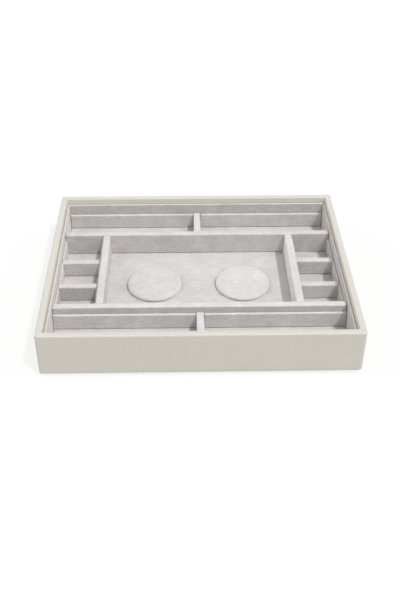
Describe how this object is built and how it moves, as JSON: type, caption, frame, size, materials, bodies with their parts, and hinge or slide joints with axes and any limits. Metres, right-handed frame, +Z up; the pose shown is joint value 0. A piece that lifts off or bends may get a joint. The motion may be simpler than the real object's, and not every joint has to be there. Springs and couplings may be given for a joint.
{
  "type": "jewelry tray",
  "caption": "Shallow stackable jewelry tray: faux-leather case, velvet compartments with ledges, and padded bracelet discs in the centre.",
  "frame": {"origin": "centre of the flat underside that the tray stands on", "axes": "+X along the tray's width to the right, +Y to the rear, +Z up"},
  "size_m": [0.25, 0.2, 0.0407],
  "materials": {
    "case_board": "plain grey board, hidden by the covering",
    "leatherette": "fine-grained cream faux leather, soft sheen",
    "plinth_velvet": "short-pile velvet",
    "floor_velvet": "short-pile velvet over thin padding",
    "velvet": "short-pile warm grey velvet over board",
    "disc_velvet": "short-pile velvet over soft padding"
  },
  "bodies": {
    "root": {"front_wall_board": "case_board", "rear_wall_board": "case_board", "left_wall_board": "case_board", "right_wall_board": "case_board", "base_board": "case_board", "leatherette_wrap": "leatherette", "nesting_plinth": "plinth_velvet", "floor_pad": "floor_velvet", "front_lining": "velvet", "rear_lining": "velvet", "left_lining": "velvet", "right_lining": "velvet", "rear_long_divider": "velvet", "front_long_divider": "velvet", "left_column_divider": "velvet", "right_column_divider": "velvet", "rear_centre_divider": "velvet", "front_centre_divider": "velvet", "left_rear_cross_divider": "velvet", "left_front_cross_divider": "velvet", "right_rear_cross_divider": "velvet", "right_front_cross_divider": "velvet", "rear_left_lining_strip": "velvet", "rear_right_lining_strip": "velvet", "rear_left_divider_strip": "velvet", "rear_right_divider_strip": "velvet", "front_left_lining_strip": "velvet", "front_right_lining_strip": "velvet", "front_left_divider_strip": "velvet", "front_right_divider_strip": "velvet", "left_rear_cell_lining_strip": "velvet", "left_rear_cell_divider_strip": "velvet", "left_middle_cell_lining_strip": "velvet", "left_middle_cell_divider_strip": "velvet", "left_front_cell_lining_strip": "velvet", "left_front_cell_divider_strip": "velvet", "right_rear_cell_lining_strip": "velvet", "right_rear_cell_divider_strip": "velvet", "right_middle_cell_lining_strip": "velvet", "right_middle_cell_divider_strip": "velvet", "right_front_cell_lining_strip": "velvet", "right_front_cell_divider_strip": "velvet", "left_bracelet_disc": "disc_velvet", "right_bracelet_disc": "disc_velvet"}
  },
  "joints": []
}
